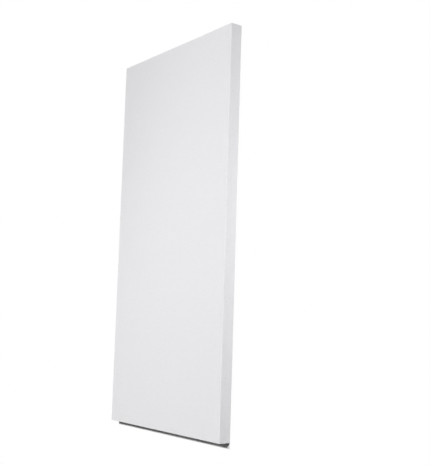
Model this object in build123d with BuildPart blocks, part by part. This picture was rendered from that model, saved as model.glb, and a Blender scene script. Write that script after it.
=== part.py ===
from build123d import *

import os

# Expanded polystyrene insulation board: one plain sheet, hot-wire cut from a moulded block.
# Millimetres, +Z up. The board lies flat, and its origin is the centre of the face that it lies on.
# Its width runs along X, its length along Y and its thickness along Z.

# Driving dimensions
board_length = 2400.0
board_width = 1200.0
board_thickness = 75.0
# The wire leaves square arrises, and handling presses them round by about a quarter of a bead.
arris_radius = 1.0


def make_board():
    """The whole sheet as one solid: its outline raised to the cut thickness, then all twelve arrises eased."""
    with BuildPart() as board:
        with BuildSketch(Plane.XY):
            Rectangle(board_width, board_length)
        extrude(amount=board_thickness)
        fillet(board.edges(), radius=arris_radius)
    board.part.label = "board"
    return board.part


os.makedirs("parts", exist_ok=True)
export_step(make_board(), "parts/board.step")
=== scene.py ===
import math

import bmesh
import bpy
import numpy as np
from mathutils import Matrix, Vector
from mathutils.geometry import delaunay_2d_cdt


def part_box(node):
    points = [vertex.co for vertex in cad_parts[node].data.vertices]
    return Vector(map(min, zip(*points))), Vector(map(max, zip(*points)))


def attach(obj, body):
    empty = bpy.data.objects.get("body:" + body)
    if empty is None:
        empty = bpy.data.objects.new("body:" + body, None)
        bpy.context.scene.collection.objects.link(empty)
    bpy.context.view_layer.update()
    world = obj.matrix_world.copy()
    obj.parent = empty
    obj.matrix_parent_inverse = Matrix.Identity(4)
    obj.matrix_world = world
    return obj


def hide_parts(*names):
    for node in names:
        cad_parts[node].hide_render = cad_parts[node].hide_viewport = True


# Expanded polystyrene insulation board: one hot-wire cut sheet, lying flat.
# Metres. +X runs across the width, +Y along the length and +Z up through the thickness.

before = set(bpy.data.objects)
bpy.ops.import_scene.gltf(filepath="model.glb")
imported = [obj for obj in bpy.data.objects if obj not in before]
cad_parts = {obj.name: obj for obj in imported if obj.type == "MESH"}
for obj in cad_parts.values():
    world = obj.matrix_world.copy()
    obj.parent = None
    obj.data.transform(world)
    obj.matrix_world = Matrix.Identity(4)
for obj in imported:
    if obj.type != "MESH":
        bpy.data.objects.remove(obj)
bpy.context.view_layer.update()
sheet_low, sheet_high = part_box("board")
sheet_size = sheet_high - sheet_low
sheet_centre = (sheet_low + sheet_high) / 2

# Beads of the foam
BEAD_SIZE = 0.0045
BEAD_SEED = 3
# Moves the beads' pattern along when the seed changes
SEED_STRIDE = (0.0131, 0.0077, 0.0059)

# Arrises: every bead there is rounded a little, and a few have come off
ARRIS_RADIUS = 0.0008
ARRIS_WEAR = 0.0024
WEAR_RARITY = 4.0
BEAD_DOME = 0.00028
RELIEF_REACH = 0.006

# Rows of points on the sheet's faces, from the arris inwards
FIRST_ROW = 0.0006
ROW_GROWTH = 1.42
WIDEST_ROW = 0.06
LEAST_STEP = 0.0019
SAME_POINT = 1e-6

# Foam finish. Seam and pit limits are in bead sizes, and tones and the pits' painted shade are shares of
# the foam's white.
FOAM_WHITE = (0.845, 0.840, 0.857)
BEAD_TONE = 0.015
BEAD_ROUGHNESS = (0.46, 0.66)
SEAM_WIDTH = 0.07
SEAM_TONE = -0.05
SEAM_DEPTH = 0.00006
PIT_STARTS = 0.84
PIT_ENDS = 1.00
# Painted shade: the pits' colour is darkened where shade would fall in these hollows
PIT_PAINTED_SHADE = -0.20
PIT_DEPTH = 0.0004
PIT_ROUGHNESS = 0.3
STREAK_SIZE = 0.010
STREAK_STRETCH = 50.0
STREAK_TONE = 0.016
STREAK_DEPTH = 0.00016
CELL_SIZE = 0.0003
CELL_DEPTH = 0.000024
NOISE_DETAIL = 2.0
# Light goes a few millimetres into the foam
GLOW_SHARE = 0.25
GLOW_REACH = 0.003
FOAM_IOR = 1.4

# Floor: pale, but plain white to the camera past the board's shadow, which fades out over a short way
FLOOR_SIZE = 60.0
FLOOR_PALE = 0.70
SHADOW_FADE = 0.006

# Lights. The window is far off, so its place gives only its direction.
SKY_STRENGTH = 0.06
WINDOW_PLACE = Vector((0.37, 0.41, 1.0))
WINDOW_STRENGTH = 2.6
WINDOW_SPREAD_DEGREES = 5.0
OVERHEAD_PLACE = Vector((0.04, 0.10, 1.95))
OVERHEAD_AIM = Vector((2.5, -1.47, 0.0))
OVERHEAD_SIZE = 2.4
OVERHEAD_WATTS = 10.3
LOW_PLACE = Vector((2.14, 0.16, 0.25))
LOW_AIM = Vector((1.5, 0.03, 0.0))
LOW_SIZE = 0.3
LOW_WATTS = 7.1

# The picture
FRAME_HEIGHT_PX = 465
FOCAL_PX = 842.7
SENSOR_WIDTH_MM = 36.0
CAMERA_PLACE = Vector((4.391, -0.529, 2.922))
CAMERA_AIM = Vector((0.500, -0.020, 0.075))
PICTURE_UP = Vector((0.0665, 0.994, 0.0868))


# Nodes


def feed(tree, socket, value):
    """Gives a node's input a number, a vector, a colour or another node's output."""
    if isinstance(value, bpy.types.NodeSocket):
        tree.links.new(value, socket)
    else:
        socket.default_value = value


def add_node(tree, kind, settings=None, **inputs):
    """A new node with its settings, and its inputs fed by name, where an underscore stands for a space."""
    node = tree.nodes.new(kind)
    for name, value in (settings or {}).items():
        setattr(node, name, value)
    for name, value in inputs.items():
        feed(tree, node.inputs[name.replace("_", " ")], value)
    return node


def calculate(tree, operation, *values, kind="ShaderNodeMath"):
    """One sum on numbers, or on vectors with the kind ShaderNodeVectorMath."""
    node = add_node(tree, kind, {"operation": operation})
    for socket, value in zip(node.inputs, values):
        feed(tree, socket, value)
    return node.outputs["Value"] if operation == "LENGTH" else node.outputs[0]


def on_vectors(tree, operation, *values):
    """One sum on vectors."""
    return calculate(tree, operation, *values, kind="ShaderNodeVectorMath")


def parts_of(tree, vector):
    """The X, Y and Z of a vector or colour, as outputs named so."""
    return add_node(tree, "ShaderNodeSeparateXYZ", Vector=vector).outputs


def middle_part(tree, vector):
    """Whichever of a vector's X, Y and Z is neither the least nor the most."""
    part = parts_of(tree, vector)
    lower = calculate(tree, "MINIMUM", part["X"], part["Y"])
    higher = calculate(tree, "MAXIMUM", part["X"], part["Y"])
    return calculate(tree, "MAXIMUM", lower, calculate(tree, "MINIMUM", higher, part["Z"]))


def fade(tree, value, start, end, first, last):
    """Goes smoothly from first to last while value goes from start to end."""
    node = tree.nodes.new("ShaderNodeMapRange")
    node.interpolation_type = "SMOOTHSTEP"
    for socket, given in zip(node.inputs, (value, start, end, first, last)):
        feed(tree, socket, given)
    return node.outputs["Result"]


def beads(tree, place, bead_size, feature):
    """The bead pattern at a place: its nearest bead, or the distance to the nearest seam, in bead sizes."""
    scale = calculate(tree, "DIVIDE", 1.0, bead_size)
    return add_node(tree, "ShaderNodeTexVoronoi", {"feature": feature}, Vector=place, Scale=scale)


def noise(tree, place, size):
    """Noise about nought, whose patches are about as wide as size."""
    texture = add_node(tree, "ShaderNodeTexNoise", Vector=place, Scale=1.0 / size, Detail=NOISE_DETAIL)
    return calculate(tree, "SUBTRACT", texture.outputs["Fac"], 0.5)


# Sheet mesh


def face_points(across, along):
    """Points on nested rectangles, close together beside the arris and sparse in the middle of the face."""
    points = []
    inset = 0.0
    row = FIRST_ROW
    while min(across, along) > 2 * inset:
        width = across - 2 * inset
        length = along - 2 * inset
        spacing = max(LEAST_STEP, row)
        xs = np.linspace(-width / 2, width / 2, max(1, round(width / spacing)) + 1)
        ys = np.linspace(-length / 2, length / 2, max(1, round(length / spacing)) + 1)
        points += [(x, y) for x in xs for y in (-length / 2, length / 2)]
        points += [(x, y) for x in (-width / 2, width / 2) for y in ys[1:-1]]
        inset += row
        row = min(row * ROW_GROWTH, WIDEST_ROW)
    return points


def sheet_mesh():
    """The sheet's six flat faces as one closed mesh of triangles, with its arrises still sharp."""
    corners = []
    triangles = []
    for normal in range(3):
        across, along = (normal + 1) % 3, (normal + 2) % 3
        points = [Vector(point) for point in face_points(sheet_size[across], sheet_size[along])]
        # With no edges or outlines given, this joins the points into triangles.
        flat, _, faces, *_ = delaunay_2d_cdt(points, [], [], 0, SAME_POINT, False)
        for level in (sheet_low[normal], sheet_high[normal]):
            first = len(corners)
            for point in flat:
                corner = sheet_centre.copy()
                corner[across] += point.x
                corner[along] += point.y
                corner[normal] = level
                corners.append(corner)
            triangles += [[first + index for index in face] for face in faces]
    mesh = bpy.data.meshes.new("sheet")
    mesh.from_pydata(corners, [], triangles)
    joined = bmesh.new()
    joined.from_mesh(mesh)
    bmesh.ops.remove_doubles(joined, verts=joined.verts, dist=SAME_POINT)
    bmesh.ops.recalc_face_normals(joined, faces=joined.faces)
    joined.to_mesh(mesh)
    joined.free()
    mesh.shade_smooth()
    return mesh


# Bead relief


def bead_relief_tree():
    """Rounds the arrises by a radius that differs from bead to bead, and domes each bead beside them."""
    tree = bpy.data.node_groups.new("bead_relief", "GeometryNodeTree")
    for name, kind in (
        ("Sheet", "NodeSocketGeometry"),
        ("Lowest Corner", "NodeSocketVector"),
        ("Highest Corner", "NodeSocketVector"),
        ("Arris Radius", "NodeSocketFloat"),
        ("Arris Wear", "NodeSocketFloat"),
        ("Wear Rarity", "NodeSocketFloat"),
        ("Bead Size", "NodeSocketFloat"),
        ("Bead Dome", "NodeSocketFloat"),
        ("Relief Reach", "NodeSocketFloat"),
        ("Seed", "NodeSocketInt"),
        ("Foam", "NodeSocketMaterial"),
    ):
        tree.interface.new_socket(name, in_out="INPUT", socket_type=kind)
    tree.interface.new_socket("Board", in_out="OUTPUT", socket_type="NodeSocketGeometry")
    given = tree.nodes.new("NodeGroupInput").outputs
    position = tree.nodes.new("GeometryNodeInputPosition").outputs["Position"]

    # Each bead has its own radius of wear, small on most of them.
    shift = on_vectors(tree, "MULTIPLY", given["Seed"], SEED_STRIDE)
    place = on_vectors(tree, "ADD", position, shift)
    bead = beads(tree, place, given["Bead Size"], "F1")
    chance = parts_of(tree, bead.outputs["Color"])["X"]
    wear = calculate(tree, "POWER", chance, given["Wear Rarity"])
    radius = calculate(tree, "MULTIPLY_ADD", wear, given["Arris Wear"], given["Arris Radius"])

    # A point is at 0 from its own face, so the middle one of its three distances is to the nearest arris.
    above_lowest = on_vectors(tree, "SUBTRACT", position, given["Lowest Corner"])
    below_highest = on_vectors(tree, "SUBTRACT", given["Highest Corner"], position)
    arris_distance = middle_part(tree, on_vectors(tree, "MINIMUM", above_lowest, below_highest))

    # A bead sinks towards its rim, and less so farther from the arris.
    squared = calculate(tree, "POWER", bead.outputs["Distance"], 2.0)
    dome = calculate(tree, "MULTIPLY", squared, given["Bead Dome"])
    near = fade(tree, arris_distance, 0.0, given["Relief Reach"], 1.0, 0.0)
    sunk = calculate(tree, "MULTIPLY", dome, near)

    # Each point goes to its own radius from a core, which is the sheet's box less that radius all round.
    core_low = on_vectors(tree, "ADD", given["Lowest Corner"], radius)
    core_high = on_vectors(tree, "SUBTRACT", given["Highest Corner"], radius)
    core = on_vectors(tree, "MINIMUM", on_vectors(tree, "MAXIMUM", position, core_low), core_high)
    outwards = on_vectors(tree, "NORMALIZE", on_vectors(tree, "SUBTRACT", position, core))
    reach = calculate(tree, "SUBTRACT", radius, sunk)
    moved = on_vectors(tree, "ADD", core, on_vectors(tree, "MULTIPLY", outwards, reach))

    shaped = add_node(tree, "GeometryNodeSetPosition", Geometry=given["Sheet"], Position=moved)
    real = add_node(tree, "GeometryNodeRealizeInstances", Geometry=shaped.outputs["Geometry"])
    solid = real.outputs["Geometry"]
    coated = add_node(tree, "GeometryNodeSetMaterial", Geometry=solid, Material=given["Foam"])
    board = tree.nodes.new("NodeGroupOutput").inputs["Board"]
    tree.links.new(coated.outputs["Geometry"], board)
    return tree


def shaped_by(tree, mesh, values):
    """Runs the tree on the mesh with its inputs set by name, and returns the plain mesh that comes out."""
    carrier = bpy.data.objects.new("carrier", mesh)
    bpy.context.scene.collection.objects.link(carrier)
    modifier = carrier.modifiers.new("relief", "NODES")
    modifier.node_group = tree
    for socket in tree.interface.items_tree:
        if socket.name in values:
            modifier[socket.identifier] = values[socket.name]
    depsgraph = bpy.context.evaluated_depsgraph_get()
    result = bpy.data.meshes.new_from_object(carrier.evaluated_get(depsgraph))
    bpy.data.objects.remove(carrier)
    return result


def make_board(foam):
    """The board as it is seen: the sheet with its arrises worn bead by bead."""
    mesh = shaped_by(
        bead_relief_tree(),
        sheet_mesh(),
        {
            "Lowest Corner": sheet_low,
            "Highest Corner": sheet_high,
            "Arris Radius": ARRIS_RADIUS,
            "Arris Wear": ARRIS_WEAR,
            "Wear Rarity": WEAR_RARITY,
            "Bead Size": BEAD_SIZE,
            "Bead Dome": BEAD_DOME,
            "Relief Reach": RELIEF_REACH,
            "Seed": BEAD_SEED,
            "Foam": foam,
        },
    )
    mesh.name = "foam_board"
    board = bpy.data.objects.new("foam_board", mesh)
    bpy.context.scene.collection.objects.link(board)
    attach(board, "root")
    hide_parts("board")


# Foam material


def foam_material():
    """Wire-cut white foam: beads that differ a little, their seams, their pits with painted shade, and the
    wire's streaks.
    """
    material = bpy.data.materials.new("wire_cut_foam")
    material.use_nodes = True
    tree = material.node_tree
    shader = tree.nodes["Principled BSDF"]
    coordinates = tree.nodes.new("ShaderNodeTexCoord").outputs["Object"]
    shift = tuple(BEAD_SEED * stride for stride in SEED_STRIDE)
    place = on_vectors(tree, "ADD", coordinates, shift)

    bead = beads(tree, place, BEAD_SIZE, "F1")
    from_middle = bead.outputs["Distance"]
    chance = parts_of(tree, bead.outputs["Color"])
    edge = beads(tree, place, BEAD_SIZE, "DISTANCE_TO_EDGE").outputs["Distance"]
    seam = fade(tree, edge, 0.0, SEAM_WIDTH, 1.0, 0.0)

    # Pits are the gaps that stay open in the corners farthest from any bead's middle.
    pit = fade(tree, from_middle, PIT_STARTS, PIT_ENDS, 0.0, 1.0)

    # The wire spans the width while it travels along the length, so its streaks run across.
    along_wire = on_vectors(tree, "MULTIPLY", place, (1.0 / STREAK_STRETCH, 1.0, 1.0))
    streak = noise(tree, along_wire, STREAK_SIZE)
    cell = noise(tree, place, CELL_SIZE)

    # Tone, with painted shade in the pits
    bead_tone = calculate(tree, "MULTIPLY_ADD", chance["X"], 2 * BEAD_TONE, 1.0 - BEAD_TONE)
    streak_tone = calculate(tree, "MULTIPLY_ADD", streak, STREAK_TONE, bead_tone)
    seam_tone = calculate(tree, "MULTIPLY_ADD", seam, SEAM_TONE, streak_tone)
    # The pits' darker colour is painted shade in the hollows, added to the beads' real tone, streaks and
    # seams
    tone_and_pit_shade = calculate(tree, "MULTIPLY_ADD", pit, PIT_PAINTED_SHADE, seam_tone)
    colour = on_vectors(tree, "MULTIPLY", FOAM_WHITE, tone_and_pit_shade)
    tree.links.new(colour, shader.inputs["Base Color"])

    # Gloss: the wire glazes some beads more than others, and never the pits.
    smoothest, roughest = BEAD_ROUGHNESS
    rough = calculate(tree, "MULTIPLY_ADD", chance["Y"], smoothest - roughest, roughest)
    roughness = calculate(tree, "MULTIPLY_ADD", pit, PIT_ROUGHNESS, rough)
    tree.links.new(roughness, shader.inputs["Roughness"])

    # Height in metres, which a bump distance of 1 keeps as it is
    squared = calculate(tree, "POWER", from_middle, 2.0)
    domed = calculate(tree, "MULTIPLY", squared, -BEAD_DOME)
    seamed = calculate(tree, "MULTIPLY_ADD", seam, -SEAM_DEPTH, domed)
    pitted = calculate(tree, "MULTIPLY_ADD", pit, -PIT_DEPTH, seamed)
    streaked = calculate(tree, "MULTIPLY_ADD", streak, STREAK_DEPTH, pitted)
    height = calculate(tree, "MULTIPLY_ADD", cell, CELL_DEPTH, streaked)
    bump = add_node(tree, "ShaderNodeBump", Height=height, Distance=1.0, Strength=1.0)
    tree.links.new(bump.outputs["Normal"], shader.inputs["Normal"])

    shader.inputs["Subsurface Weight"].default_value = GLOW_SHARE
    shader.inputs["Subsurface Radius"].default_value = (1.0, 1.0, 1.0)
    shader.inputs["Subsurface Scale"].default_value = GLOW_REACH
    shader.inputs["IOR"].default_value = FOAM_IOR
    return material


# Floor and background


def grey(level):
    """A plain grey as a colour, white at a level of 1."""
    return (level, level, level, 1.0)


def looked_at(tree):
    """1 for rays from the camera, also by way of gloss or glass, and 0 for those that carry light."""
    path = tree.nodes.new("ShaderNodeLightPath").outputs
    seen = calculate(tree, "MAXIMUM", path["Is Camera Ray"], path["Is Glossy Ray"])
    return calculate(tree, "MAXIMUM", seen, path["Is Transmission Ray"])


def mixed(tree, share, first, second):
    """The first shader where the share is 0 and the second where it is 1."""
    node = add_node(tree, "ShaderNodeMixShader", Fac=share)
    tree.links.new(first, node.inputs[1])
    tree.links.new(second, node.inputs[2])
    return node.outputs["Shader"]


def floor_material():
    """A pale floor that shows the board's shadow and looks plain white round it."""
    material = bpy.data.materials.new("pale_floor")
    material.use_nodes = True
    tree = material.node_tree
    tree.nodes.clear()

    # The window's light leans, so the shadow reaches out on two sides and the other two have none.
    lean = Vector((WINDOW_PLACE.x, WINDOW_PLACE.y, 0.0)) / WINDOW_PLACE.z
    shadow_low = sheet_low - lean * sheet_size.z
    shadow_high = sheet_high - Vector((SHADOW_FADE, SHADOW_FADE, 0.0))
    coordinates = tree.nodes.new("ShaderNodeTexCoord").outputs["Object"]
    from_middle = on_vectors(tree, "SUBTRACT", coordinates, (shadow_low + shadow_high) / 2)
    aside = on_vectors(tree, "ABSOLUTE", from_middle)
    beyond = on_vectors(tree, "SUBTRACT", aside, (shadow_high - shadow_low) / 2)
    distance = on_vectors(tree, "LENGTH", on_vectors(tree, "MAXIMUM", beyond, (0.0, 0.0, 0.0)))
    clear = fade(tree, distance, 0.0, SHADOW_FADE, 0.0, 1.0)

    pale = add_node(tree, "ShaderNodeBsdfDiffuse", Color=grey(FLOOR_PALE)).outputs["BSDF"]
    white = add_node(tree, "ShaderNodeEmission", Color=grey(1.0), Strength=1.0).outputs["Emission"]
    share = calculate(tree, "MULTIPLY", clear, looked_at(tree))
    surface = tree.nodes.new("ShaderNodeOutputMaterial").inputs["Surface"]
    tree.links.new(mixed(tree, share, pale, white), surface)
    return material


def make_floor():
    """The level floor that the board lies on."""
    mesh = bpy.data.meshes.new("floor")
    reach = FLOOR_SIZE / 2
    corners = [(-reach, -reach, 0.0), (reach, -reach, 0.0), (reach, reach, 0.0), (-reach, reach, 0.0)]
    mesh.from_pydata(corners, [], [(0, 1, 2, 3)])
    mesh.materials.append(floor_material())
    floor = bpy.data.objects.new("floor", mesh)
    bpy.context.scene.collection.objects.link(floor)


def make_sky():
    """Even light from all round, and a plain white background."""
    world = bpy.data.worlds.new("studio")
    world.use_nodes = True
    tree = world.node_tree
    tree.nodes.clear()
    light = add_node(tree, "ShaderNodeBackground", Color=grey(1.0), Strength=SKY_STRENGTH)
    white = add_node(tree, "ShaderNodeBackground", Color=grey(1.0), Strength=1.0)
    seen = mixed(tree, looked_at(tree), light.outputs["Background"], white.outputs["Background"])
    surface = tree.nodes.new("ShaderNodeOutputWorld").inputs["Surface"]
    tree.links.new(seen, surface)
    bpy.context.scene.world = world


# Lamps and camera


def add_lamp(name, kind, place, aim, strength):
    """Adds an unseen lamp that shines from its place towards its aim, and returns its light."""
    light = bpy.data.lights.new(name, kind)
    light.energy = strength
    lamp = bpy.data.objects.new(name, light)
    lamp.location = place
    lamp.rotation_euler = (aim - place).to_track_quat("-Z", "Y").to_euler()
    lamp.visible_camera = False
    bpy.context.scene.collection.objects.link(lamp)
    return light


def make_lamps():
    """An even light from a high window, a soft box over the board and a small one low on its right."""
    window = add_lamp("high_window", "SUN", WINDOW_PLACE, Vector(), WINDOW_STRENGTH)
    window.angle = math.radians(WINDOW_SPREAD_DEGREES)
    overhead = add_lamp("overhead_box", "AREA", OVERHEAD_PLACE, OVERHEAD_AIM, OVERHEAD_WATTS)
    overhead.size = OVERHEAD_SIZE
    low = add_lamp("low_box", "AREA", LOW_PLACE, LOW_AIM, LOW_WATTS)
    low.size = LOW_SIZE


def make_camera():
    """The camera keeps the photo's view of the board, so the board's length runs up the picture."""
    optics = bpy.data.cameras.new("camera")
    optics.sensor_width = SENSOR_WIDTH_MM
    optics.lens = FOCAL_PX / FRAME_HEIGHT_PX * SENSOR_WIDTH_MM
    ahead = (CAMERA_AIM - CAMERA_PLACE).normalized()
    right = ahead.cross(PICTURE_UP).normalized()
    up = right.cross(ahead)
    turned = Matrix((right, up, -ahead)).transposed().to_4x4()
    camera = bpy.data.objects.new("camera", optics)
    camera.matrix_world = Matrix.Translation(CAMERA_PLACE) @ turned
    bpy.context.scene.collection.objects.link(camera)
    bpy.context.scene.camera = camera


make_board(foam_material())
make_floor()
make_sky()
make_lamps()
make_camera()
bpy.context.scene.view_settings.view_transform = "Standard"
